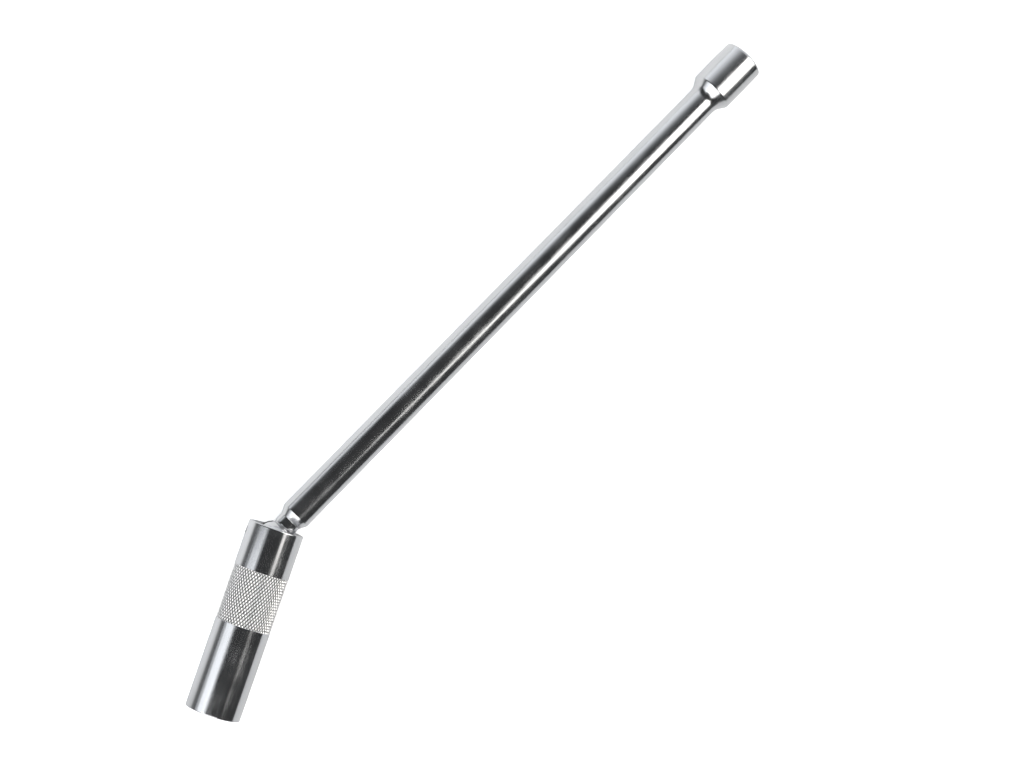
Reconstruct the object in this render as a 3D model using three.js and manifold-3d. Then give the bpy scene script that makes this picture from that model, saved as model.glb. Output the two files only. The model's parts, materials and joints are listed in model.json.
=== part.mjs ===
// Swivel spark-plug wrench. A long bar ends in a ball, and a socket for the
// plug's hexagon hangs on that ball by a cross pin, so that it can lean to any
// side of the bar. The bar's other end takes a square drive.
//
// Millimetres, +Z up. The wrench lies on the ground as it is put down, with
// the socket along X and the bar leaning away towards -Y.

import * as THREE from 'three';
import { mergeVertices } from 'three/addons/utils/BufferGeometryUtils.js';
import Module from 'manifold-3d';

const wasm = await Module();
wasm.setup();

const degree = Math.PI / 180;

// ---- Sizes ---------------------------------------------------------------

// Bar, measured from the ball's centre.
const barRadius = 6.0;
const barReach = 257.8;
const ballRadius = 6.75;
const neckRadius = 4.5;
const neckReach = 9.3;
const lowerShoulderLength = 3.0;

// Square drive end.
const squareSize = 9.6;
const squareDepth = 12.5;
const squareCornerWall = 1.66;
const squareLeadIn = 0.7;
const driveLength = 18.3;
const upperShoulderLength = 5.6;
const driveChamfer = 0.8;
const detentRadius = 2.2;
const detentDepth = 0.8;
const detentSetback = 5.2;

// Movement of the joint, and how far the wrench is bent as it lies.
const swingLimit = 28 * degree;
const tiltLimit = 24 * degree;
const restBend = 25.8 * degree;

// Cross pin, and the slot that it crosses the ball in.
const pinRadius = 1.5;
const pinClearance = 0.08;
const pinInset = 0.3;
const slotClearance = 0.2;
const slotExtraAngle = 1.5 * degree;

// Socket.
const plugHexSize = 16;
const hexClearance = 0.1;
const hexCornerWall = 1.25;
const hexDepth = 18.7;
const hexLeadIn = 0.7;
const chamberDepth = 52.2;
const chamberRadius = 6.8;
const rimHeight = 4.2;
const rimWall = 1.2;
const socketChamfer = 0.45;
const partitionThickness = 1.8;
const partitionHoleRadius = 3.6;

// Friction cup and its spring, under the ball.
const ballClearance = 0.3;
const seatClearance = 0.15;
const cupClearance = 0.15;
const cupFloor = 1.6;
const cupPinGap = 1.7;
const springSpace = 6.0;
const springWireRadius = 0.6;
const springTurns = 3;
const springClearance = 0.25;

// Magnet that holds the plug, its sleeve and its snap ring.
const magnetBoreRadius = 5.7;
const magnetLength = 5.2;
const magnetClearance = 0.1;
const sleeveWall = 0.6;
const sleeveLip = 0.7;
const sleeveClearance = 0.1;
const endClearance = 0.1;
const snapRingThickness = 1.0;
const snapRingOverlap = 0.3;
const snapRingGap = 40 * degree;
const snapGrooveClearance = 0.15;

// Facets.
const roundSides = 56;
const pinSides = 28;
const arcSteps = 14;
const shoulderSteps = 8;
const detentSides = 16;
const wireSides = 8;
const springStepsPerTurn = 16;

// ---- Sizes that follow from those ----------------------------------------

const lean = Math.acos(Math.cos(swingLimit) * Math.cos(tiltLimit));
const ballBore = ballRadius + ballClearance;
const rimBore = rimHeight * Math.tan(lean) + neckRadius / Math.cos(lean) + ballClearance;
const flareStart = rimHeight - (rimBore - ballBore) / Math.tan(lean);

const hexFlat = plugHexSize / 2 + hexClearance;
const hexCorner = hexFlat / Math.cos(30 * degree);
const hexNotch = hexFlat / Math.cos(15 * degree);
const hexBore = hexNotch - hexClearance;
const socketRadius = Math.max(hexCorner + hexCornerWall, rimBore + rimWall);

const driveRadius = squareSize / Math.SQRT2 + squareCornerWall;
const driveStart = barReach - driveLength;

const cupTop = -(pinRadius + cupPinGap);
const cupBase = -(ballRadius + seatClearance + cupFloor);
const partitionTop = cupBase - springSpace;
const partitionBase = partitionTop - partitionThickness;
const mouth = partitionBase - chamberDepth;

const sleeveLength = magnetLength + magnetClearance + sleeveLip;
const sleeveRadius = hexBore - sleeveClearance;
const magnetRadius = sleeveRadius - sleeveWall - magnetClearance;
const grooveStart = mouth + hexDepth;
const grooveEnd = grooveStart + snapRingThickness + 2 * snapGrooveClearance;
const grooveRadius = hexCorner + hexClearance;
const sleeveStart = grooveEnd;
const sleeveSeat = sleeveStart + sleeveLength + endClearance;

const restPitch = Math.asin((socketRadius - driveRadius) / barReach);

// ---- Making solids -------------------------------------------------------

// A closed geometry as a solid that can be cut and joined.
function solid(geometry) {
  const bare = geometry.clone();
  bare.deleteAttribute('normal');
  bare.deleteAttribute('uv');
  const merged = mergeVertices(bare, 1e-5);
  const corners = merged.index.array;
  const kept = [];
  for (let i = 0; i < corners.length; i += 3) {
    const [a, b, c] = corners.slice(i, i + 3);
    if (a !== b && b !== c && c !== a) kept.push(a, b, c);
  }
  return new wasm.Manifold(new wasm.Mesh({
    numProp: 3,
    vertProperties: merged.attributes.position.array,
    triVerts: Uint32Array.from(kept),
  }));
}

// A solid as a geometry that a mesh can show.
function geometryOf(body) {
  const mesh = body.getMesh();
  const geometry = new THREE.BufferGeometry();
  geometry.setAttribute('position', new THREE.BufferAttribute(mesh.vertProperties, 3));
  geometry.setIndex(new THREE.BufferAttribute(mesh.triVerts, 1));
  geometry.computeVertexNormals();
  return geometry;
}

// A turned solid: [along, radius] points, outside first towards +X, spun about X.
function turned(profile, sides = roundSides) {
  const points = profile.map(([along, radius]) => new THREE.Vector2(radius, along));
  return solid(new THREE.LatheGeometry(points, sides).rotateZ(-Math.PI / 2));
}

// A ring's profile closes on itself.
function turnedRing(profile) {
  return turned([...profile, profile[0]]);
}

// Points of an arc about a centre on the axis, from one angle to another, where
// an angle of 0 points along +X.
function ballArc(radius, from, to) {
  return Array.from({ length: arcSteps + 1 }, (_, i) => {
    const angle = from + (to - from) * i / arcSteps;
    return [radius * Math.cos(angle), radius * Math.sin(angle)];
  });
}

// An S-shaped shoulder from one radius to another.
function shoulder(start, length, fromRadius, toRadius) {
  return Array.from({ length: shoulderSteps + 1 }, (_, i) => {
    const part = i / shoulderSteps;
    const rise = (1 - Math.cos(Math.PI * part)) / 2;
    return [start + length * part, fromRadius + (toRadius - fromRadius) * rise];
  });
}

// A prism on an outline in the YZ plane, from a start along X.
function prismAlongX(outline, start, length) {
  const shape = new THREE.Shape(outline);
  const geometry = new THREE.ExtrudeGeometry(shape, { depth: length, bevelEnabled: false });
  return solid(geometry.rotateY(Math.PI / 2).translate(start, 0, 0));
}

// ---- Pieces --------------------------------------------------------------

// The slot lets the pin turn through the swing, so it fans out both ways.
function ballSlot() {
  const half = pinRadius + slotClearance;
  const angle = swingLimit + slotExtraAngle;
  const past = 1;
  const waist = half / Math.cos(angle);
  const endY = ballRadius + past;
  const endX = waist + endY * Math.tan(angle);
  const outline = [
    [waist, 0], [endX, endY], [-endX, endY],
    [-waist, 0], [-endX, -endY], [endX, -endY],
  ].map(([x, y]) => new THREE.Vector2(x, y));
  const shape = new THREE.Shape(outline);
  const geometry = new THREE.ExtrudeGeometry(shape, { depth: 2 * half, bevelEnabled: false });
  return solid(geometry.translate(0, 0, -half));
}

// The recess for a square drive, with a lead-in and a detent hollow in each wall.
function driveRecess() {
  const half = squareSize / 2;
  const end = barReach;
  const corners = [[half, half], [-half, half], [-half, -half], [half, -half]];
  const square = corners.map(([y, z]) => new THREE.Vector2(y, z));
  const past = 1;
  let recess = prismAlongX(square, end - squareDepth, squareDepth + past);
  const cone = new THREE.CylinderGeometry(
    (half + squareLeadIn + past) * Math.SQRT2, half * Math.SQRT2, squareLeadIn + past, 4, 1);
  cone.rotateY(Math.PI / 4).rotateZ(-Math.PI / 2);
  cone.translate(end + (past - squareLeadIn) / 2, 0, 0);
  recess = recess.add(solid(cone));
  for (let i = 0; i < 4; i += 1) {
    const hollow = new THREE.SphereGeometry(detentRadius, detentSides, detentSides / 2);
    hollow.translate(end - detentSetback, 0, half + detentDepth - detentRadius);
    recess = recess.add(solid(hollow.rotateX(i * Math.PI / 2)));
  }
  return recess;
}

function shaft() {
  const neckAngle = Math.asin(neckRadius / ballRadius);
  const body = turned([
    ...ballArc(ballRadius, Math.PI, neckAngle),
    [neckReach, neckRadius],
    [neckReach + lowerShoulderLength, barRadius],
    ...shoulder(driveStart - upperShoulderLength, upperShoulderLength, barRadius, driveRadius),
    [barReach - driveChamfer, driveRadius],
    [barReach, driveRadius - driveChamfer],
    [barReach, 0],
  ]);
  return body.subtract(ballSlot()).subtract(driveRecess());
}

function crossPin() {
  const length = 2 * (socketRadius - pinInset);
  return solid(new THREE.CylinderGeometry(pinRadius, pinRadius, length, pinSides));
}

// The twelve-point outline of the plug opening.
function twelvePoint() {
  return Array.from({ length: 24 }, (_, i) => {
    const radius = i % 2 ? hexNotch : hexCorner;
    const angle = i * 15 * degree;
    return new THREE.Vector2(radius * Math.cos(angle), radius * Math.sin(angle));
  });
}

function socketBody() {
  const past = 1;
  const leadRadius = hexCorner + hexClearance;
  const body = turnedRing([
    [mouth, leadRadius],
    [mouth, socketRadius - socketChamfer],
    [mouth + socketChamfer, socketRadius],
    [rimHeight - socketChamfer, socketRadius],
    [rimHeight, socketRadius - socketChamfer],
    [rimHeight, rimBore],
    [flareStart, ballBore],
    [partitionTop, ballBore],
    [partitionTop, partitionHoleRadius],
    [partitionBase, partitionHoleRadius],
    [partitionBase, chamberRadius],
    [sleeveSeat, chamberRadius],
    [sleeveSeat, hexBore],
    [grooveEnd, hexBore],
    [grooveEnd, grooveRadius],
    [grooveStart, grooveRadius],
    [grooveStart, hexBore],
    [mouth + hexLeadIn, hexBore],
  ]);
  const hexLength = hexDepth + snapGrooveClearance + past;
  const holeRadius = pinRadius + pinClearance;
  const holeLength = 2 * (socketRadius + past);
  const hole = new THREE.CylinderGeometry(holeRadius, holeRadius, holeLength, pinSides);
  return body
    .subtract(prismAlongX(twelvePoint(), mouth - past, hexLength))
    .subtract(solid(hole));
}

// A dish under the ball, which the spring presses up against it.
function frictionCup() {
  const seat = ballRadius + seatClearance;
  const outer = ballBore - cupClearance;
  const edge = Math.acos(cupTop / seat);
  return turned([[cupBase, 0], [cupBase, outer], [cupTop, outer], ...ballArc(seat, edge, Math.PI)]);
}

class Helix extends THREE.Curve {
  constructor(start, length, radius, turns) {
    super();
    Object.assign(this, { start, length, radius, turns });
  }

  getPoint(part, target = new THREE.Vector3()) {
    const angle = part * this.turns * 2 * Math.PI;
    const along = this.start + this.length * part;
    return target.set(along, this.radius * Math.cos(angle), this.radius * Math.sin(angle));
  }
}

function frictionSpring() {
  const margin = springWireRadius + endClearance;
  const coilRadius = ballBore - springClearance - springWireRadius;
  const path = new Helix(
    partitionTop + margin, springSpace - 2 * margin, coilRadius, springTurns);
  const section = new THREE.Shape(Array.from({ length: wireSides }, (_, i) => {
    const angle = i * 2 * Math.PI / wireSides;
    return new THREE.Vector2(Math.cos(angle), Math.sin(angle)).multiplyScalar(springWireRadius);
  }));
  return solid(new THREE.ExtrudeGeometry(section, {
    extrudePath: path,
    steps: springTurns * springStepsPerTurn,
  }));
}

// A sleeve around the magnet, with a lip over its upper end.
function magnetSleeve() {
  const inner = sleeveRadius - sleeveWall;
  const lipBore = magnetBoreRadius + magnetClearance;
  const end = sleeveStart + sleeveLength;
  return turnedRing([
    [sleeveStart, inner],
    [sleeveStart, sleeveRadius],
    [end, sleeveRadius],
    [end, lipBore],
    [end - sleeveLip, lipBore],
    [end - sleeveLip, inner],
  ]);
}

function magnetRing() {
  const end = sleeveStart + magnetLength;
  return turnedRing([
    [sleeveStart, magnetBoreRadius],
    [sleeveStart, magnetRadius],
    [end, magnetRadius],
    [end, magnetBoreRadius],
  ]);
}

// An open ring sprung into the groove below the sleeve. It reaches over the
// magnet's edge, so it holds both.
function snapRing() {
  const outer = grooveRadius - snapGrooveClearance;
  const inner = magnetRadius - snapRingOverlap;
  const shape = new THREE.Shape();
  const from = snapRingGap / 2;
  const to = 2 * Math.PI - snapRingGap / 2;
  shape.absarc(0, 0, outer, from, to, false);
  shape.absarc(0, 0, inner, to, from, true);
  const geometry = new THREE.ExtrudeGeometry(shape, {
    depth: snapRingThickness,
    bevelEnabled: false,
    curveSegments: roundSides / 2,
  });
  geometry.rotateY(Math.PI / 2).translate(grooveStart + snapGrooveClearance, 0, 0);
  return solid(geometry);
}

// ---- Materials -----------------------------------------------------------

const chrome = { color: 0xc9ced2, roughness: 0.16, metalness: 1 };
const satinChrome = { color: 0xbfc3c6, roughness: 0.26, metalness: 1 };
const steel = { color: 0x9a9ea2, roughness: 0.35, metalness: 1 };
const brass = { color: 0xb9974e, roughness: 0.32, metalness: 1 };
const springSteel = { color: 0x6f757b, roughness: 0.4, metalness: 1 };
const ferrite = { color: 0x35373b, roughness: 0.6, metalness: 0.3 };

function piece(name, body, look) {
  const mesh = new THREE.Mesh(geometryOf(body), new THREE.MeshStandardMaterial(look));
  mesh.name = name;
  return mesh;
}

// ---- Assembly ------------------------------------------------------------

// Both groups have their origin at the ball's centre.
const bar = new THREE.Group();
bar.add(piece('shaft', shaft(), chrome));
bar.rotation.set(0, restPitch, -restBend, 'ZYX');

const socket = new THREE.Group();
socket.add(
  piece('cross_pin', crossPin(), steel),
  piece('socket_body', socketBody(), satinChrome),
  piece('friction_cup', frictionCup(), brass),
  piece('friction_spring', frictionSpring(), springSteel),
  piece('magnet_sleeve', magnetSleeve(), brass),
  piece('magnet_ring', magnetRing(), ferrite),
  piece('snap_ring', snapRing(), springSteel),
);

const joint = new THREE.Group();
joint.add(bar, socket);

// The wrench stands centred on the origin, with its lowest point on the ground.
joint.updateMatrixWorld(true);
const extent = new THREE.Box3().setFromObject(joint, true);
const middle = extent.getCenter(new THREE.Vector3());
joint.position.set(-middle.x, -middle.y, -extent.min.z);

const wrench = new THREE.Group();
wrench.add(joint);

export default wrench;
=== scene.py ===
"""Swivel spark-plug wrench: the visible pieces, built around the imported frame.

Metres, in the frame's own axes. The socket lies along X, and the bar leans away
from it towards -Y. Each piece is turned about X with the ball's centre at the
origin, and is then put in its place.
"""

import json
import math
from collections import namedtuple

import bpy
from mathutils import Matrix, Vector


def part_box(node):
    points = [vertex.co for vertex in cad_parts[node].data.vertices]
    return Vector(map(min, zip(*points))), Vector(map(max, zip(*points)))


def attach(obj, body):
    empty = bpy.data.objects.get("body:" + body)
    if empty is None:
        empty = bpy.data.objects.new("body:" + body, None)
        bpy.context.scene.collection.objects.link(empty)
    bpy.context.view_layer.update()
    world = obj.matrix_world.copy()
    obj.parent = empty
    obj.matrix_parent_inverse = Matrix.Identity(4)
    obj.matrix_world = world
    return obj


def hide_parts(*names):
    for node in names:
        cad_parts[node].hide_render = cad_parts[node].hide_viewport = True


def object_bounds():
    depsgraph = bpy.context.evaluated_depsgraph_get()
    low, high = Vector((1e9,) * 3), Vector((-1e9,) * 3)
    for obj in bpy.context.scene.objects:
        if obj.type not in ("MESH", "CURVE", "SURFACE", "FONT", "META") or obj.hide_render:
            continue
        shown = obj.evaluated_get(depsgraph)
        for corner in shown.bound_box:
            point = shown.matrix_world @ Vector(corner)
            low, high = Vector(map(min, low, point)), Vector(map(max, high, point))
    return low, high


bl_info = {
    "name": "Swivel Plug Wrench",
    "version": (1, 0, 0),
    "blender": (4, 5, 0),
    "location": "View3D > Sidebar > Wrench",
    "description": "Builds a swivel spark-plug wrench and its studio",
    "category": "Add Mesh",
}

MM = 0.001
DEGREE = math.pi / 180
MERGE = 1e-6  # closer vertices are merged
SUPPORT = 0.2 * MM  # how far an extra point stands from the end of a straight stretch
CLEARANCE = 0.1 * MM  # between pieces that fit into each other
KNURL_SINK = 0.03 * MM  # from the knurl to its band's floor, and to the wall's surface
SMALL_SIDES = 120  # facets round a piece inside the socket
PIN_SIDES = 64  # facets round the pin and its hole
FLOOR_WIDTH = 12

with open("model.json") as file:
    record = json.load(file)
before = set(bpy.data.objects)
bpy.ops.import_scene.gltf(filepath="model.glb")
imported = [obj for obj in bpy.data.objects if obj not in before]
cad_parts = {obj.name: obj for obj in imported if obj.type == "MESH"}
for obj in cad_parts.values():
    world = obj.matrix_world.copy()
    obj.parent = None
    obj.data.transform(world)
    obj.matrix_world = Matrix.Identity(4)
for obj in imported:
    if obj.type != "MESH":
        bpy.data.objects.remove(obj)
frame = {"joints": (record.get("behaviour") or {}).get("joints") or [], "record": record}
cad_low, cad_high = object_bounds()

# ---- Places that the frame gives ------------------------------------------------

JOINT = Vector(frame["joints"][0]["pos_m"])
MOUNTS = {mount["name"]: mount for mount in frame["record"]["mounts"]}
BAR_AXIS = Vector(MOUNTS["drive_face"]["axis"]).normalized()
BAR_REACH = (Vector(MOUNTS["drive_face"]["pos_m"]) - JOINT).dot(BAR_AXIS)

IN_SOCKET = Matrix.Translation(JOINT)
IN_BAR = IN_SOCKET @ BAR_AXIS.to_track_quat("X", "Z").to_matrix().to_4x4()


def along_socket(node):
    """Where a node of the socket starts and ends along X, from the ball's centre."""
    low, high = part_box(node)
    return low.x - JOINT.x, high.x - JOINT.x


def radius_of(node):
    """The outer radius of a round node of the socket."""
    low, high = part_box(node)
    return (high.z - low.z) / 2


MOUTH, RIM = along_socket("socket_body")
SOCKET_RADIUS = radius_of("socket_body")
PIN_RADIUS = radius_of("cross_pin")
CUP_BASE, CUP_TOP = along_socket("friction_cup")
CUP_RADIUS = radius_of("friction_cup")
SLEEVE_START, SLEEVE_END = along_socket("magnet_sleeve")
SLEEVE_RADIUS = radius_of("magnet_sleeve")
MAGNET_START, MAGNET_END = along_socket("magnet_ring")
MAGNET_RADIUS = radius_of("magnet_ring")
SNAP_START, SNAP_END = along_socket("snap_ring")
SNAP_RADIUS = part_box("snap_ring")[1].z - JOINT.z


# ---- Sizes and colours that a user may change -----------------------------------

def length(name, description, millimetres):
    """A length property, with its default in millimetres."""
    return bpy.props.FloatProperty(
        name=name, description=description, default=millimetres * MM,
        min=0.0, unit="LENGTH", precision=5)


def colour(name, description, red, green, blue):
    """A colour property."""
    return bpy.props.FloatVectorProperty(
        name=name, description=description, default=(red, green, blue),
        subtype="COLOR", size=3, min=0.0, max=1.0)


class WrenchSizes(bpy.types.PropertyGroup):
    """Sizes of the wrench's visible pieces."""

    sides: bpy.props.IntProperty(
        name="Sides", description="Facets round a turned piece", default=180, min=24)
    bar_radius: length("Bar radius", "Half the bar's thickness", 6.0)
    ball_radius: length("Ball radius", "Radius of the ball in the joint", 6.75)
    neck_radius: length("Neck radius", "Radius of the neck above the ball", 4.5)
    neck_reach: length("Neck reach", "Ball's centre to the lower shoulder", 9.3)
    lower_shoulder: length("Lower shoulder", "Length of the shoulder above the neck", 3.2)
    upper_shoulder: length("Upper shoulder", "Length of the shoulder below the drive", 5.6)
    drive_radius: length("Drive radius", "Radius of the drive end", 8.448)
    drive_length: length("Drive length", "Length of the drive end", 18.3)
    drive_round: length("Drive rounding", "Rounding of the drive end's edge", 1.05)
    square_size: length("Square", "Width of the square recess", 9.6)
    square_depth: length("Square depth", "Depth of the square recess", 12.5)
    detent_radius: length("Detent radius", "Radius of the hollows for the detent ball", 2.2)
    detent_depth: length("Detent depth", "Depth of the hollows for the detent ball", 0.8)
    detent_setback: length("Detent setback", "Face to the hollows' centres", 5.2)
    hex_size: length("Plug opening", "Across the flats of the twelve-point opening", 16.2)
    hex_depth: length("Plug depth", "Depth of the twelve-point opening", 18.7)
    chamber_radius: length("Chamber radius", "Radius of the insulator's chamber", 6.8)
    partition: length("Partition", "Thickness of the wall above the chamber", 1.8)
    partition_hole: length("Partition hole", "Radius of the hole in that wall", 3.6)
    flare_radius: length("Rim bore", "Radius of the socket's bore at its rim", 8.87)
    bore_radius: length("Joint bore", "Radius of the bore round the ball", 7.05)
    knurl_start: length("Knurl start", "Ball's centre to the knurled band", 12.9)
    knurl_length: length("Knurl length", "Length of the knurled band", 21.0)
    knurl_depth: length("Knurl depth", "Depth of the knurl's grooves", 0.32)


class WrenchFinish(bpy.types.PropertyGroup):
    """Colours of the wrench's finishes."""

    chrome: colour("Chrome", "Chrome plate", 0.63, 0.63, 0.64)
    steel: colour("Steel", "Ground steel of the pin", 0.5, 0.51, 0.52)
    spring: colour("Spring steel", "Drawn spring wire", 0.3, 0.31, 0.33)
    blued: colour("Blued steel", "Snap ring", 0.1, 0.105, 0.12)
    brass: colour("Brass", "Cup and sleeve", 0.62, 0.45, 0.2)
    ferrite: colour("Ferrite", "Ring magnet", 0.05, 0.05, 0.055)


# ---- Modelling helpers ----------------------------------------------------------

def select_only(obj):
    """Makes one object the only selected and active one."""
    bpy.ops.object.select_all(action="DESELECT")
    obj.select_set(True)
    bpy.context.view_layer.objects.active = obj


def edit(obj):
    """Opens an object in edit mode with nothing selected."""
    select_only(obj)
    bpy.ops.object.mode_set(mode="EDIT")
    bpy.ops.mesh.select_all(action="DESELECT")


def leave_edit():
    """Goes back to object mode."""
    bpy.ops.object.mode_set(mode="OBJECT")


def added(name):
    """Names the primitive that was just added."""
    obj = bpy.context.object
    obj.name = name
    obj.data.name = name
    return obj


def pick(obj, part, wanted):
    """Selects the vertices, edges or faces that a test wants, from object mode."""
    select_only(obj)
    bpy.ops.object.mode_set(mode="EDIT")
    modes = {"vertices": "VERT", "edges": "EDGE", "polygons": "FACE"}
    bpy.ops.mesh.select_mode(type=modes[part])
    bpy.ops.mesh.select_all(action="DESELECT")
    leave_edit()
    for item in getattr(obj.data, part):
        item.select = wanted(item)
    bpy.ops.object.mode_set(mode="EDIT")


def clean(obj):
    """Merges doubles and turns every face outwards."""
    edit(obj)
    bpy.ops.mesh.select_mode(type="VERT")
    bpy.ops.mesh.select_all(action="SELECT")
    bpy.ops.mesh.remove_doubles(threshold=MERGE)
    bpy.ops.mesh.normals_make_consistent(inside=False)
    leave_edit()


def arc(centre, radius, start, end, steps):
    """Points of an arc in a profile, as (along, radius), with 0 degrees along +X."""
    x, r = centre
    angles = [(start + (end - start) * i / steps) * DEGREE for i in range(steps + 1)]
    return [(x + radius * math.cos(a), r + radius * math.sin(a)) for a in angles]


def shoulder(start, run, low, high, edge, slope):
    """Points of a shoulder: a hollow foot, a cone, and a rounded upper edge."""
    fall = (high - low) / math.tan(slope * DEGREE)
    hollow = (run - fall) / math.tan(slope * DEGREE / 2) - edge
    return [
        *arc((start, low + hollow), hollow, -90, slope - 90, 16),
        *arc((start + run, high - edge), edge, 90 + slope, 90, 8),
    ]


def supported(profile):
    """Adds a point near both ends of each long straight stretch, to hold its shading."""
    points = [profile[0]]
    for (x0, r0), (x1, r1) in zip(profile, profile[1:]):
        run = math.hypot(x1 - x0, r1 - r0)
        if run > 4 * SUPPORT:
            for part in (SUPPORT / run, 1 - SUPPORT / run):
                points.append((x0 + (x1 - x0) * part, r0 + (r1 - r0) * part))
        points.append((x1, r1))
    return points


def turned(name, profile, sides, sweep=360):
    """Draws a profile by extruding one vertex, and spins it about X."""
    profile = supported(profile)
    bpy.ops.object.select_all(action="DESELECT")
    bpy.ops.mesh.primitive_plane_add(size=MM, location=(0, 0, 0))
    obj = added(name)
    bpy.ops.object.mode_set(mode="EDIT")
    bpy.ops.mesh.select_mode(type="VERT")
    bpy.ops.mesh.select_all(action="SELECT")
    bpy.ops.mesh.merge(type="CENTER")
    first = Vector((profile[0][0], 0, profile[0][1]))
    bpy.ops.transform.translate(value=first)
    for (x0, r0), (x1, r1) in zip(profile, profile[1:]):
        step = (x1 - x0, 0, r1 - r0)
        bpy.ops.mesh.extrude_vertices_move(TRANSFORM_OT_translate={"value": step})
    bpy.ops.mesh.select_all(action="SELECT")
    bpy.ops.mesh.spin(
        steps=sides, angle=sweep * DEGREE, center=(0, 0, 0), axis=(1, 0, 0))
    leave_edit()
    clean(obj)
    return obj


def turned_ring(name, profile, sides):
    """A turned piece whose profile closes on itself."""
    return turned(name, [*profile, profile[0]], sides)


def cut(obj, tool, operation="DIFFERENCE"):
    """Cuts a tool out of a piece, or joins it on, and takes the tool away."""
    select_only(obj)
    bpy.ops.object.modifier_add(type="BOOLEAN")
    modifier = obj.modifiers[-1]
    modifier.operation = operation
    modifier.solver = "EXACT"
    modifier.object = tool
    bpy.ops.object.modifier_apply(modifier=modifier.name)
    bpy.data.objects.remove(tool)
    clean(obj)


def cylinder(name, radius, start, end, vertices, axis="X"):
    """A closed cylinder about one of the axes."""
    turn = {"X": (0, math.pi / 2, 0), "Y": (math.pi / 2, 0, 0)}[axis]
    middle = (start + end) / 2
    place = (middle, 0, 0) if axis == "X" else (0, middle, 0)
    bpy.ops.object.select_all(action="DESELECT")
    bpy.ops.mesh.primitive_cylinder_add(
        vertices=vertices, radius=radius, depth=end - start, location=place, rotation=turn)
    obj = added(name)
    bpy.ops.object.transform_apply(location=True, rotation=True, scale=True)
    return obj


def put(obj, place):
    """Moves a finished mesh to its place, with its object left at the origin."""
    obj.matrix_world = place
    select_only(obj)
    bpy.ops.object.transform_apply(location=True, rotation=True, scale=True)


def finish_piece(obj, place, body, node, material, crease=28):
    """Puts a piece in its place, shades it and hides the node it stands for."""
    put(obj, place)
    clean(obj)
    select_only(obj)
    bpy.ops.object.shade_smooth_by_angle(angle=crease * DEGREE)
    obj.data.materials.clear()
    obj.data.materials.append(material)
    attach(obj, body)
    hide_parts(node)


# ---- Materials ------------------------------------------------------------------

STREAKS_PER_METRE = 900.0
CLOUDS_PER_METRE = 120.0
STREAK_STRETCH = 0.06
# Painted shade: the knurl's base colour goes to this black towards the bottoms of its
# grooves, and to the pale white on its crests.
GROOVE_SHADE_BLACK = (0, 0, 0, 1)
PALE_CREST_WHITE = (1.0, 0.98, 0.97, 1)

# A knurled stretch: its two ends along the piece, the radii of its grooves, where the
# painted shade is darkest, and of its pale crests, and its roughness.
KnurlBand = namedtuple("KnurlBand", "start end groove crest roughness")


def feed(tree, source, socket):
    """Links a node's first output or an output to a socket, or sets a plain value."""
    if isinstance(source, bpy.types.Node):
        source = next(output for output in source.outputs if output.enabled)
    if isinstance(source, bpy.types.NodeSocket):
        tree.links.new(source, socket)
    else:
        socket.default_value = source


def add_node(tree, kind, inputs=None, **settings):
    """Adds a shader node with its settings, and feeds its inputs by name or number."""
    node = tree.nodes.new("ShaderNode" + kind)
    for setting, value in settings.items():
        setattr(node, setting, value)
    for socket, source in (inputs or {}).items():
        feed(tree, source, node.inputs[socket])
    return node


def add_maths(tree, operation, *sources):
    """Adds a Math node."""
    return add_node(tree, "Math", dict(enumerate(sources)), operation=operation)


def add_range(tree, source, taken, given):
    """Adds a Map Range node, from the taken range to the given one."""
    return add_node(tree, "MapRange", {
        "Value": source, "From Min": taken[0], "From Max": taken[1],
        "To Min": given[0], "To Max": given[1]})


def add_blend(tree, factor, first, second, blend_type="MIX"):
    """Adds a Mix node for colours."""
    return add_node(
        tree, "Mix", {"Factor": factor, "A": first, "B": second},
        data_type="RGBA", blend_type=blend_type)


def metal(name, tint, roughness, place, grain, speckle, speckle_size=0.35, band=None):
    """Bright metal with a grain along its axis and a fine speckle.

    place is the piece's place, so that the grain follows the piece. grain is how
    much the roughness varies. speckle and speckle_size are the speckle's height and
    width in millimetres. band is a knurled stretch, if the piece has one.
    """
    material = bpy.data.materials.new(name)
    material.use_nodes = True
    tree = material.node_tree
    shader = tree.nodes["Principled BSDF"]
    shader.inputs["Metallic"].default_value = 1.0

    straight = add_node(tree, "Mapping", {
        "Vector": add_node(tree, "TexCoord").outputs["Object"],
        "Location": place.translation, "Rotation": place.to_euler()}, vector_type="TEXTURE")
    drawn = add_node(tree, "Mapping", {
        "Vector": straight, "Scale": (STREAK_STRETCH, 1.0, 1.0)})
    streaks = add_node(tree, "TexNoise", {
        "Vector": drawn, "Scale": STREAKS_PER_METRE, "Detail": 4.0})
    clouds = add_node(tree, "TexNoise", {
        "Vector": straight, "Scale": CLOUDS_PER_METRE, "Detail": 5.0})
    spread = add_range(
        tree, add_maths(tree, "MULTIPLY", streaks, clouds), (0.12, 0.42),
        (roughness * (1 - grain), roughness * (1 + grain)))
    shade = add_range(tree, clouds, (0.3, 0.7), (0.94, 1.0))
    tinted = add_blend(tree, 1.0, (*tint, 1.0), shade, "MULTIPLY")
    if band:
        add_knurl_groove_shade(tree, straight, spread, tinted, band)
    else:
        feed(tree, spread, shader.inputs["Roughness"])
        feed(tree, tinted, shader.inputs["Base Color"])

    pits = add_node(tree, "TexNoise", {
        "Vector": straight, "Scale": 1.0 / (speckle_size * MM), "Detail": 3.0,
        "Roughness": 0.6})
    relief = add_node(tree, "Bump", {
        "Strength": 1.0, "Distance": speckle * MM, "Height": pits})
    feed(tree, relief, shader.inputs["Normal"])
    return material


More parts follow.
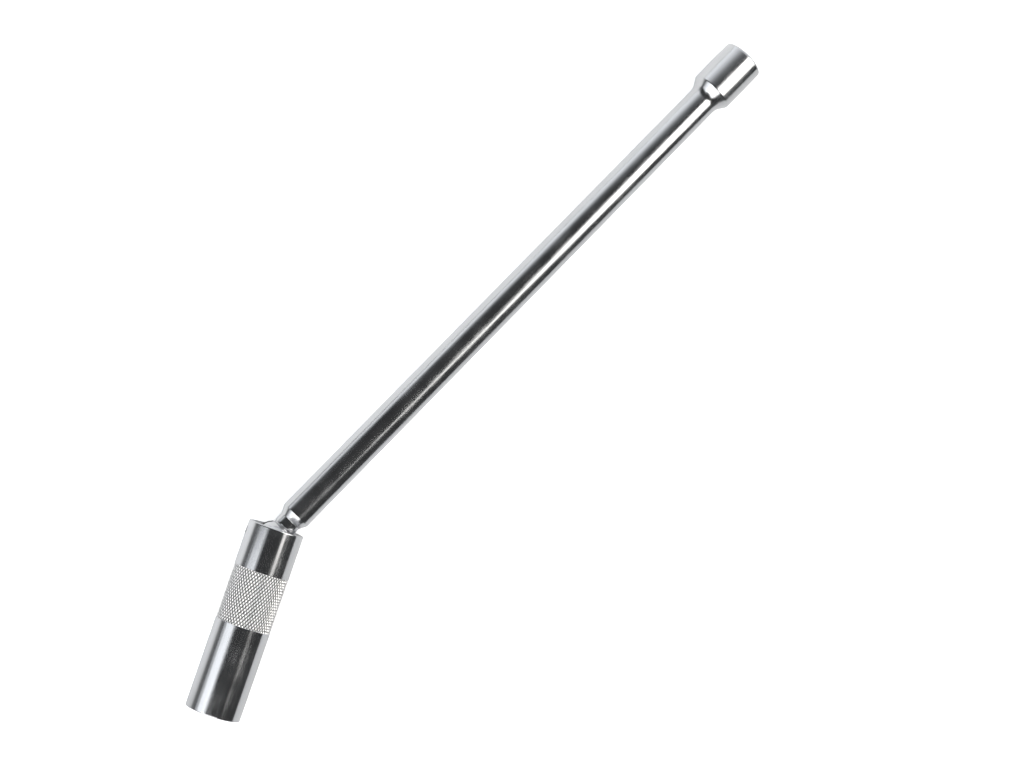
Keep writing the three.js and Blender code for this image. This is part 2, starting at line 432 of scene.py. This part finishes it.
def add_knurl_groove_shade(tree, straight, spread, tinted, band):
    """Makes a knurled stretch rougher, with painted shade darkening its grooves and its
    crests pale.
    """
    shader = tree.nodes["Principled BSDF"]
    apart = add_node(tree, "SeparateXYZ", {"Vector": straight})
    inside = add_maths(
        tree, "COMPARE", apart.outputs["X"], (band.start + band.end) / 2,
        (band.end - band.start) / 2)
    dull = add_node(tree, "Mix", {"Factor": inside, "A": spread, "B": band.roughness})
    across = add_node(tree, "CombineXYZ", {
        "Y": apart.outputs["Y"], "Z": apart.outputs["Z"]})
    from_axis = add_node(tree, "VectorMath", {0: across}, operation="LENGTH")
    # Painted shade: the colour runs from black at the grooves' bottoms to pale white on the
    # crests.
    groove_shade_mask = add_range(tree, from_axis, (band.groove, band.crest), (-0.25, 1.0))
    groove_shade_to_crest = add_blend(tree, groove_shade_mask, GROOVE_SHADE_BLACK, PALE_CREST_WHITE)
    feed(tree, dull, shader.inputs["Roughness"])
    feed(tree, add_blend(tree, inside, tinted, groove_shade_to_crest), shader.inputs["Base Color"])
    feed(tree, add_range(tree, inside, (0.0, 1.0), (1.0, 0.7)), shader.inputs["Metallic"])


def sintered(name, tint, place):
    """Dull, dark, slightly grainy magnet."""
    material = metal(name, tint, 0.55, place, grain=0.2, speckle=0.01)
    material.node_tree.nodes["Principled BSDF"].inputs["Metallic"].default_value = 0.35
    return material


# ---- The bar --------------------------------------------------------------------

def bar_profile(size):
    """The bar's outline from the ball's far side to the drive face."""
    ball, neck, bar = size.ball_radius, size.neck_radius, size.bar_radius
    drive, round_off = size.drive_radius, size.drive_round
    meets = math.asin(neck / ball) / DEGREE
    groove, sunk, hollow = 0.35 * MM, 0.1 * MM, 0.4 * MM
    foot = ball * math.cos(meets * DEGREE)
    neck_end = size.neck_reach - hollow
    drive_start = BAR_REACH - size.drive_length
    corner = (BAR_REACH - round_off, drive - round_off)
    return [
        *arc((0, 0), ball, 180, meets + 1, 40),
        *arc((foot + groove, neck - sunk), groove, 180, 360, 8)[1:],
        (foot + 3 * groove, neck),
        *shoulder(
            neck_end, size.lower_shoulder, neck, bar, edge=0.25 * MM, slope=27),
        *shoulder(
            drive_start - size.upper_shoulder, size.upper_shoulder, bar, drive,
            edge=0.9 * MM, slope=33),
        *arc(corner, round_off, 90, 0, 10),
        (BAR_REACH, 0),
    ]


def ball_slot(size):
    """The fanned slot through the ball, narrow in the middle."""
    half = PIN_RADIUS + 2 * CLEARANCE
    angle = 29.5 * DEGREE
    waist = half / math.cos(angle)
    end_y = size.ball_radius + 1 * MM
    end_x = waist + end_y * math.tan(angle)
    bpy.ops.object.select_all(action="DESELECT")
    bpy.ops.mesh.primitive_cube_add(size=2)
    slot = added("slot_cutter")
    pick(slot, "edges", lambda e: runs_along(slot, e, 1))
    bpy.ops.mesh.subdivide(number_cuts=1)
    leave_edit()
    pick(slot, "vertices", lambda v: abs(v.co.y) < 0.5)
    bpy.ops.transform.resize(value=(waist / end_x, 1, 1), center_override=(0, 0, 0))
    bpy.ops.mesh.select_all(action="SELECT")
    bpy.ops.transform.resize(value=(end_x, end_y, half), center_override=(0, 0, 0))
    leave_edit()
    return slot


def runs_along(obj, edge, axis):
    """Whether an edge runs along an axis."""
    a, b = (obj.data.vertices[i].co for i in edge.vertices)
    step = b - a
    return abs(step[axis]) > 0.99 * step.length


def square_recess(size):
    """The square recess, with its lead-in, its drilled bottom and detent hollows."""
    half = size.square_size / 2
    past = 1 * MM
    bottom = BAR_REACH - size.square_depth
    lead = 0.7 * MM
    bpy.ops.object.select_all(action="DESELECT")
    bpy.ops.mesh.primitive_cube_add(size=1, location=(0, 0, 0))
    recess = added("recess_cutter")
    edit(recess)
    bpy.ops.mesh.select_all(action="SELECT")
    depth = size.square_depth + past
    bpy.ops.transform.resize(value=(depth, 2 * half, 2 * half), center_override=(0, 0, 0))
    bpy.ops.transform.translate(value=(bottom + depth / 2, 0, 0))
    leave_edit()

    wide = (half + lead + past) * math.sqrt(2)
    bpy.ops.object.select_all(action="DESELECT")
    bpy.ops.mesh.primitive_cone_add(
        vertices=4, radius1=half * math.sqrt(2), radius2=wide, depth=lead + past,
        location=(0, 0, 0), rotation=(0, 0, math.pi / 4))
    mouth = added("lead_in_cutter")
    bpy.ops.object.transform_apply(location=True, rotation=True, scale=True)
    put(mouth, Matrix.Translation((BAR_REACH + (past - lead) / 2, 0, 0))
        @ Matrix.Rotation(math.pi / 2, 4, "Y"))
    cut(recess, mouth, "UNION")

    drill, drill_angle = 0.85 * half, 31
    overlap = 0.01 * MM
    point = drill * math.tan(drill_angle * DEGREE)
    bpy.ops.object.select_all(action="DESELECT")
    bpy.ops.mesh.primitive_cone_add(
        vertices=48, radius1=drill, radius2=0, depth=point, location=(0, 0, 0))
    tip = added("drill_cutter")
    put(tip, Matrix.Translation((bottom - point / 2 + overlap, 0, 0))
        @ Matrix.Rotation(-math.pi / 2, 4, "Y"))
    cut(recess, tip, "UNION")

    for quarter in range(4):
        bpy.ops.object.select_all(action="DESELECT")
        bpy.ops.mesh.primitive_uv_sphere_add(
            segments=32, ring_count=16, radius=size.detent_radius)
        hollow = added("detent_cutter")
        sunk = half + size.detent_depth - size.detent_radius
        put(hollow, Matrix.Rotation(quarter * math.pi / 2, 4, "X")
            @ Matrix.Translation((BAR_REACH - size.detent_setback, 0, sunk)))
        cut(recess, hollow, "UNION")
    return recess


class WRENCH_OT_bar(bpy.types.Operator):
    """Build the bar with its ball, neck, shoulders and square drive end"""

    bl_idname = "wrench.bar"
    bl_label = "Extension Bar"

    def execute(self, context):
        size, finish = context.scene.wrench_sizes, context.scene.wrench_finish
        bar = turned("extension_bar", bar_profile(size), size.sides)
        cut(bar, ball_slot(size))
        cut(bar, square_recess(size))
        chrome = metal(
            "bar_chrome", finish.chrome, 0.21, IN_BAR, grain=0.25, speckle=0.003)
        finish_piece(bar, IN_BAR, "bar", "shaft", chrome)
        return {"FINISHED"}


# ---- The socket -----------------------------------------------------------------

def socket_profile(size):
    """The socket's wall, outside first from mouth to rim, then back inside."""
    edge, chamfer = 0.4 * MM, 0.7 * MM
    groove_width, spring_room = 1.3 * MM, 6.0 * MM
    flare_angle = 36.2 * DEGREE
    hex_corner = size.hex_size / 2 / math.cos(30 * DEGREE)
    hex_bore = size.hex_size / 2 / math.cos(15 * DEGREE) - CLEARANCE
    groove_end = MOUTH + size.hex_depth + groove_width
    groove_radius = hex_corner + CLEARANCE
    seat = SLEEVE_END + CLEARANCE
    shelf = CUP_BASE - spring_room
    flare = RIM - (size.flare_radius - size.bore_radius) / math.tan(flare_angle)
    radius = SOCKET_RADIUS
    band_start = -size.knurl_start
    band_end = band_start - size.knurl_length
    floor = radius - size.knurl_depth - KNURL_SINK
    run_out = 0.12 * MM
    return [
        (MOUTH, hex_corner + CLEARANCE),
        *arc((MOUTH + edge, radius - edge), edge, 180, 90, 6),
        (band_end - run_out, radius),
        (band_end + run_out, floor),
        (band_start - run_out, floor),
        (band_start + run_out, radius),
        *arc((RIM - edge, radius - edge), edge, 90, 0, 6),
        *arc((RIM - edge / 2, size.flare_radius + edge / 2), edge / 2, 0, -90, 4),
        (flare, size.bore_radius),
        (shelf, size.bore_radius),
        (shelf, size.partition_hole),
        (shelf - size.partition, size.partition_hole),
        (shelf - size.partition, size.chamber_radius),
        (seat, size.chamber_radius),
        (seat, hex_bore),
        (groove_end, hex_bore),
        (groove_end, groove_radius),
        (MOUTH + size.hex_depth, groove_radius),
        (MOUTH + size.hex_depth, hex_bore),
        (MOUTH + chamfer, hex_bore),
    ]


def twelve_point(size):
    """The broach for the plug opening: every other edge of a 24-sided rod sunk."""
    before, past = 1 * MM, 0.15 * MM
    corner = size.hex_size / 2 / math.cos(30 * DEGREE)
    notch = size.hex_size / 2 / math.cos(15 * DEGREE)
    end = MOUTH + size.hex_depth + past
    broach = cylinder("broach_cutter", corner, MOUTH - before, end, 24)

    def sunk(vertex):
        step = round(math.atan2(vertex.co.z, vertex.co.y) / (15 * DEGREE))
        return step % 2 == 1

    pick(broach, "vertices", sunk)
    ratio = notch / corner
    bpy.ops.transform.resize(value=(1, ratio, ratio), center_override=(0, 0, 0))
    leave_edit()
    return broach


def knurled_ring(size):
    """A ring of raised diamonds, from a grid of cells poked and joined across.

    One row more than the band at either end is buried in the socket's wall.
    """
    around, rows = 55, 10
    flank, root = 0.4 * MM, 0.8 * MM
    valley = SOCKET_RADIUS - size.knurl_depth
    longer = size.knurl_length * (rows + 2) / rows
    middle = -size.knurl_start - size.knurl_length / 2
    bpy.ops.object.select_all(action="DESELECT")
    bpy.ops.mesh.primitive_cylinder_add(
        vertices=around, radius=valley, depth=longer,
        end_fill_type="NOTHING", rotation=(0, math.pi / 2, 0))
    ring = added("knurl")
    bpy.ops.object.transform_apply(location=True, rotation=True, scale=True)
    pick(ring, "edges", lambda e: runs_along(ring, e, 0))
    bpy.ops.mesh.subdivide(number_cuts=rows + 1)
    leave_edit()
    corners = len(ring.data.vertices)
    end = longer / 2 - MERGE

    def at_end(edge):
        return all(abs(ring.data.vertices[i].co.x) > end for i in edge.vertices)

    edit(ring)
    bpy.ops.mesh.select_all(action="SELECT")
    bpy.ops.mesh.poke()
    leave_edit()
    pick(ring, "edges", lambda e: max(e.vertices) < corners and not at_end(e))
    bpy.ops.mesh.dissolve_edges(use_verts=False, use_face_split=False)
    leave_edit()
    clean(ring)
    pick(ring, "polygons", lambda f: len(f.vertices) == 4)
    bpy.ops.mesh.inset(
        use_individual=True, thickness=flank, depth=size.knurl_depth - KNURL_SINK)
    leave_edit()

    pick(ring, "edges", at_end)
    bpy.ops.mesh.extrude_region_move()
    inward = (valley - root) / valley
    bpy.ops.transform.resize(value=(1, inward, inward), center_override=(0, 0, 0))
    bpy.ops.mesh.bridge_edge_loops()
    leave_edit()
    clean(ring)
    put(ring, Matrix.Translation((middle, 0, 0)))
    return ring


class WRENCH_OT_socket(bpy.types.Operator):
    """Build the plug socket with its knurled band and twelve-point opening"""

    bl_idname = "wrench.socket"
    bl_label = "Plug Socket"

    def execute(self, context):
        size, finish = context.scene.wrench_sizes, context.scene.wrench_finish
        socket = turned_ring("plug_socket", socket_profile(size), size.sides)
        reach = SOCKET_RADIUS + 1 * MM
        hole = cylinder(
            "hole_cutter", PIN_RADIUS + CLEARANCE / 2, -reach, reach, PIN_SIDES, "Y")
        cut(socket, hole)
        cut(socket, twelve_point(size))
        cut(socket, knurled_ring(size), "UNION")
        # Painted shade: below this depth under the socket's radius, the knurl's colour
        # darkens towards its grooves.
        groove_shade_to_crest = 0.17 * MM
        band = KnurlBand(
            start=-size.knurl_start - size.knurl_length, end=-size.knurl_start,
            groove=SOCKET_RADIUS - size.knurl_depth, crest=SOCKET_RADIUS - groove_shade_to_crest,
            roughness=0.3)
        chrome = metal(
            "socket_chrome", finish.chrome, 0.18, IN_SOCKET, grain=0.25, speckle=0.004,
            speckle_size=0.5, band=band)
        finish_piece(socket, IN_SOCKET, "socket", "socket_body", chrome)
        return {"FINISHED"}


# ---- The pieces inside the socket -----------------------------------------------

class WRENCH_OT_pin(bpy.types.Operator):
    """Build the cross pin that joins the ball and the socket"""

    bl_idname = "wrench.pin"
    bl_label = "Cross Pin"

    def execute(self, context):
        size, finish = context.scene.wrench_sizes, context.scene.wrench_finish
        low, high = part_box("cross_pin")
        reach = (high.y - low.y) / 2
        edge = 0.25 * MM
        profile = [
            (-reach, 0),
            *arc((-reach + edge, PIN_RADIUS - edge), edge, 180, 90, 5),
            *arc((reach - edge, PIN_RADIUS - edge), edge, 90, 0, 5),
            (reach, 0),
        ]
        pin = turned("joint_pin", profile, PIN_SIDES)
        place = IN_SOCKET @ Matrix.Rotation(math.pi / 2, 4, "Z")
        steel = metal("pin_steel", finish.steel, 0.25, place, grain=0.3, speckle=0.001)
        finish_piece(pin, place, "pin", "cross_pin", steel)
        return {"FINISHED"}


class WRENCH_OT_friction(bpy.types.Operator):
    """Build the cup and the spring under the ball"""

    bl_idname = "wrench.friction"
    bl_label = "Friction Cup and Spring"

    def execute(self, context):
        size, finish = context.scene.wrench_sizes, context.scene.wrench_finish
        seat_clearance = 0.15 * MM
        seat = size.ball_radius + seat_clearance
        lip = math.acos(CUP_TOP / seat) / DEGREE
        edge = 0.3 * MM
        profile = [
            (CUP_BASE, 0),
            *arc((CUP_BASE + edge, CUP_RADIUS - edge), edge, 180, 90, 4),
            (CUP_TOP, CUP_RADIUS),
            *arc((0, 0), seat, lip, 180, 30),
        ]
        cup = turned("friction_dish", profile, SMALL_SIDES)
        brass = metal("cup_brass", finish.brass, 0.28, IN_SOCKET, grain=0.3, speckle=0.001)
        finish_piece(cup, IN_SOCKET, "socket", "friction_cup", brass)

        start, end = along_socket("friction_spring")
        wire = 0.6 * MM
        coil = radius_of("friction_spring") - wire
        turns = 3
        pitch = (end - start - 2 * wire) / turns
        bpy.ops.object.select_all(action="DESELECT")
        bpy.ops.mesh.primitive_circle_add(
            vertices=16, radius=wire, fill_type="NGON",
            location=(start + wire, 0, coil), rotation=(math.pi / 2, 0, 0))
        spring = added("friction_coil")
        bpy.ops.object.transform_apply(location=True, rotation=True, scale=True)
        edit(spring)
        bpy.ops.mesh.select_all(action="SELECT")
        steps = 40
        for _ in range(turns * steps):
            bpy.ops.mesh.extrude_region_move(
                TRANSFORM_OT_translate={"value": (pitch / steps, 0, 0)})
            bpy.ops.transform.rotate(
                value=2 * math.pi / steps, orient_axis="X", center_override=(0, 0, 0))
        leave_edit()
        wire_steel = metal(
            "spring_wire", finish.spring, 0.32, IN_SOCKET, grain=0.2, speckle=0.001)
        finish_piece(
            spring, IN_SOCKET, "socket", "friction_spring", wire_steel)
        return {"FINISHED"}


class WRENCH_OT_magnet(bpy.types.Operator):
    """Build the ring magnet, its sleeve and its snap ring"""

    bl_idname = "wrench.magnet"
    bl_label = "Magnet, Sleeve and Snap Ring"

    def execute(self, context):
        finish = context.scene.wrench_finish
        bore = 5.7 * MM
        edge = 0.3 * MM
        inner = MAGNET_RADIUS + CLEARANCE
        sleeve_floor = 0.7 * MM
        lip = SLEEVE_END - sleeve_floor
        sleeve = turned_ring("magnet_cup", [
            (SLEEVE_START, inner),
            (SLEEVE_START, SLEEVE_RADIUS),
            *arc((SLEEVE_END - edge, SLEEVE_RADIUS - edge), edge, 90, 0, 4),
            (SLEEVE_END, bore + CLEARANCE),
            (lip, bore + CLEARANCE),
            (lip, inner),
        ], SMALL_SIDES)
        brass = metal("sleeve_brass", finish.brass, 0.3, IN_SOCKET, grain=0.3, speckle=0.001)
        finish_piece(sleeve, IN_SOCKET, "socket", "magnet_sleeve", brass)

        magnet = turned_ring("plug_magnet", [
            (MAGNET_START + edge, bore),
            (MAGNET_START, bore + edge),
            (MAGNET_START, MAGNET_RADIUS - edge),
            (MAGNET_START + edge, MAGNET_RADIUS),
            (MAGNET_END - edge, MAGNET_RADIUS),
            (MAGNET_END, MAGNET_RADIUS - edge),
            (MAGNET_END, bore + edge),
            (MAGNET_END - edge, bore),
        ], SMALL_SIDES)
        ferrite = sintered("ferrite", finish.ferrite, IN_SOCKET)
        finish_piece(magnet, IN_SOCKET, "socket", "magnet_ring", ferrite)

        gap = 40
        tilt = Matrix.Rotation((90 + gap / 2) * DEGREE, 4, "X")
        overlap, small = 0.3 * MM, 0.12 * MM
        snap_inner = MAGNET_RADIUS - overlap
        ring = turned("retaining_ring", [
            (SNAP_START, snap_inner),
            (SNAP_START, SNAP_RADIUS - small),
            (SNAP_START + small, SNAP_RADIUS),
            (SNAP_END - small, SNAP_RADIUS),
            (SNAP_END, SNAP_RADIUS - small),
            (SNAP_END, snap_inner),
            (SNAP_START, snap_inner),
        ], SMALL_SIDES, 360 - gap)
        edit(ring)
        bpy.ops.mesh.select_mode(type="EDGE")
        bpy.ops.mesh.select_non_manifold()
        bpy.ops.mesh.edge_face_add()
        leave_edit()
        blued = metal("ring_steel", finish.blued, 0.35, IN_SOCKET, grain=0.2, speckle=0.001)
        finish_piece(ring, IN_SOCKET @ tilt, "socket", "snap_ring", blued)
        return {"FINISHED"}


# ---- The studio -----------------------------------------------------------------

CAMERA_PLACE = JOINT + Vector((57.83, 119.08, 866.59)) * MM
CAMERA_TOWARDS = Vector((0.02922, -0.20979, -0.97731))
CAMERA_UP = Vector((0.94521, 0.32384, -0.04126))
LENS = 82.2
# Turns right and up, as the camera sees them, to the frame's X and Y.
GROUND = Matrix.Rotation(math.atan2(-0.922, 0.325), 4, "Z")
LIT_WALL = GROUND @ Vector((-0.5, 0.866, 0))
LIT_SIDE = GROUND @ Vector((0, 1, 0))
WHITE = (1, 1, 1)
WARM = (1.0, 0.99, 0.955)
COOL = (0.93, 0.965, 1.0)


def facing(place, towards, up):
    """A matrix that stands at a place and looks along a direction."""
    back = -towards.normalized()
    right = up.cross(back).normalized()
    top = back.cross(right)
    turn = Matrix((right, top, back)).transposed()
    return Matrix.Translation(place) @ turn.to_4x4()


def soft_box(name, place, size, radiance, turn=0, lean=0, tint=WHITE, shape="RECTANGLE"):
    """A flat light, placed on the ground as the camera sees it.

    place is right, up and height in metres. The light faces down, is leant about
    its own depth and is then turned about the upright.
    """
    width, depth = size
    data = bpy.data.lights.new(name, "AREA")
    data.shape = shape
    data.size, data.size_y = width, depth
    area = width * depth * (math.pi / 4 if shape == "ELLIPSE" else 1)
    data.energy = radiance * math.pi * area
    data.color = tint
    lamp = bpy.data.objects.new(name, data)
    bpy.context.scene.collection.objects.link(lamp)
    lamp.matrix_world = (
        GROUND @ Matrix.Translation(place) @ Matrix.Rotation(turn * DEGREE, 4, "Z")
        @ Matrix.Rotation(lean * DEGREE, 4, "Y"))
    return lamp


def floor_material():
    """Plain pale floor where the camera sees it; where only reflections see it, painted
    shade makes it darker to the left and past the bar.
    """
    seen_tone, seen_lift = 0.86, 0.6
    material = bpy.data.materials.new("pale_floor")
    material.use_nodes = True
    tree = material.node_tree
    shader = tree.nodes["Principled BSDF"]
    shader.inputs["Roughness"].default_value = 0.9
    shader.inputs["Specular IOR Level"].default_value = 0.1
    shader.inputs["Emission Color"].default_value = (1, 1, 1, 1)
    seen = add_node(tree, "LightPath").outputs["Is Camera Ray"]
    lift = add_maths(tree, "MULTIPLY", seen, seen_lift)
    feed(tree, lift, shader.inputs["Emission Strength"])

    ground = add_node(tree, "Mapping", {
        "Vector": add_node(tree, "TexCoord").outputs["Object"],
        "Rotation": GROUND.to_euler()}, vector_type="TEXTURE")
    apart = add_node(tree, "SeparateXYZ", {"Vector": ground})
    # Painted shade, seen only in reflections: the floor is darker far to the left and past
    # the bar's line.
    near = add_range(tree, apart.outputs["X"], (-0.18, -0.12), (0.12, 0.84))
    past_bar = add_node(
        tree, "VectorMath", {0: ground, 1: (0.71, -0.70, 0)}, operation="DOT_PRODUCT")
    painted_shade_past_bar = add_range(tree, past_bar, (-0.02, 0.02), (1.0, 0.75))
    tone = add_node(tree, "Mix", {
        "Factor": seen, "A": add_maths(tree, "MULTIPLY", near, painted_shade_past_bar), "B": seen_tone})
    feed(tree, tone, shader.inputs["Base Color"])
    return material


def room():
    """Dark room with a lit wall behind the wrench, pale where the camera sees it."""
    world = bpy.data.worlds.new("room")
    world.use_nodes = True
    tree = world.node_tree
    direction = add_node(tree, "TexCoord").outputs["Generated"]
    walls = []
    for side, sharpness in ((LIT_WALL, 4.0), (LIT_SIDE, 1.0)):
        towards = add_node(
            tree, "VectorMath", {0: direction, 1: side}, operation="DOT_PRODUCT")
        clamped = add_node(tree, "Clamp", {"Value": towards})
        walls.append(add_maths(tree, "POWER", clamped, sharpness))
    apart = add_node(tree, "SeparateXYZ", {"Vector": direction})
    steepness = add_maths(tree, "ABSOLUTE", apart.outputs["Z"])
    skyline = add_maths(tree, "POWER", add_maths(tree, "SUBTRACT", 1.0, steepness), 6.0)
    level = add_maths(tree, "MULTIPLY", add_maths(tree, "MULTIPLY", *walls), skyline)
    lit = tree.nodes["Background"]
    feed(tree, (*COOL, 1), lit.inputs["Color"])
    feed(tree, add_range(tree, level, (0.0, 1.0), (0.04, 2.2)), lit.inputs["Strength"])
    plain = add_node(tree, "Background", {"Color": (0.9, 0.9, 0.9, 1)})
    seen = add_node(tree, "LightPath").outputs["Is Camera Ray"]
    either = add_node(tree, "MixShader", {"Fac": seen, 1: lit, 2: plain})
    feed(tree, either, tree.nodes["World Output"].inputs["Surface"])
    return world


def light_wrench():
    """Sets the soft boxes round the wrench, with right, up and height in metres."""
    soft_box(
        "right_dish", place=(1.305, 0.13, 0.9), size=(2.0, 1.14), radiance=3.2,
        tint=WARM, shape="ELLIPSE")
    soft_box(
        "right_glow", place=(0.49, -0.288, 0.88), size=(0.27, 0.17), radiance=1.6,
        turn=-19, tint=WARM)
    soft_box(
        "left_core", place=(-1.32, -0.26, 0.83), size=(0.94, 1.03), radiance=1.0,
        turn=-19, lean=-90, tint=COOL)
    soft_box(
        "left_halo", place=(-1.34, -0.26, 0.91), size=(1.58, 1.03), radiance=0.6,
        turn=-19, lean=-90, tint=COOL)
    soft_box(
        "low_box", place=(-0.95, -1.1, 0.95), size=(1.5, 1.8), radiance=2.2, turn=-19)
    fill = soft_box(
        "floor_fill", place=(-0.9, 0.2, 2.3), size=(2.6, 2.6), radiance=2.3, tint=COOL)
    fill.visible_glossy = False
    light_wall()


def light_wall():
    """Steps the bar's long reflection up to full brightness with overlapping panels."""
    width, depth = 9.0, 8.0
    rise = 0.02
    steps = ((0.45, 0.08), (0.57, 0.14), (0.69, 0.20), (0.81, 0.22), (0.97, 0.22))
    for number, (start, radiance) in enumerate(steps):
        middle = start + depth / 2
        panel = soft_box(
            f"wall_step_{number}",
            place=(0.545 * middle - 1.25, 0.839 * middle + 0.81, 0.9 + rise * number),
            size=(width, depth), radiance=radiance, turn=-33, tint=COOL)
        panel.visible_diffuse = False


class WRENCH_OT_studio(bpy.types.Operator):
    """Set up the floor, the lights and the camera"""

    bl_idname = "wrench.studio"
    bl_label = "Studio"

    def execute(self, context):
        scene = context.scene
        bpy.ops.object.select_all(action="DESELECT")
        bpy.ops.mesh.primitive_plane_add(size=FLOOR_WIDTH, location=(0, 0, cad_low.z))
        floor = added("floor")
        floor.data.materials.append(floor_material())

        light_wrench()
        scene.world = room()
        scene.view_settings.view_transform = "Standard"

        data = bpy.data.cameras.new("camera")
        data.lens = LENS
        data.sensor_width = 36
        data.clip_start = 0.01
        camera = bpy.data.objects.new("camera", data)
        scene.collection.objects.link(camera)
        camera.matrix_world = facing(CAMERA_PLACE, CAMERA_TOWARDS, CAMERA_UP)
        scene.camera = camera
        return {"FINISHED"}


class WRENCH_PT_sidebar(bpy.types.Panel):
    """Lists the wrench's pieces and their sizes"""

    bl_idname = "WRENCH_PT_sidebar"
    bl_label = "Swivel Plug Wrench"
    bl_space_type = "VIEW_3D"
    bl_region_type = "UI"
    bl_category = "Wrench"

    def draw(self, context):
        column = self.layout.column()
        for step in STEPS:
            column.operator(step.bl_idname)
        for group in (context.scene.wrench_sizes, context.scene.wrench_finish):
            for name in group.bl_rna.properties.keys():
                if name not in {"rna_type", "name"}:
                    column.prop(group, name)


STEPS = (
    WRENCH_OT_studio,
    WRENCH_OT_bar,
    WRENCH_OT_socket,
    WRENCH_OT_pin,
    WRENCH_OT_friction,
    WRENCH_OT_magnet,
)
CLASSES = (WrenchSizes, WrenchFinish, *STEPS, WRENCH_PT_sidebar)


def register():
    for item in CLASSES:
        bpy.utils.register_class(item)
    bpy.types.Scene.wrench_sizes = bpy.props.PointerProperty(type=WrenchSizes)
    bpy.types.Scene.wrench_finish = bpy.props.PointerProperty(type=WrenchFinish)


def unregister():
    del bpy.types.Scene.wrench_finish
    del bpy.types.Scene.wrench_sizes
    for item in reversed(CLASSES):
        bpy.utils.unregister_class(item)


def main():
    """Builds everything in order."""
    register()
    for step in STEPS:
        group, name = step.bl_idname.split(".")
        getattr(getattr(bpy.ops, group), name)()


if __name__ == "__main__":
    main()
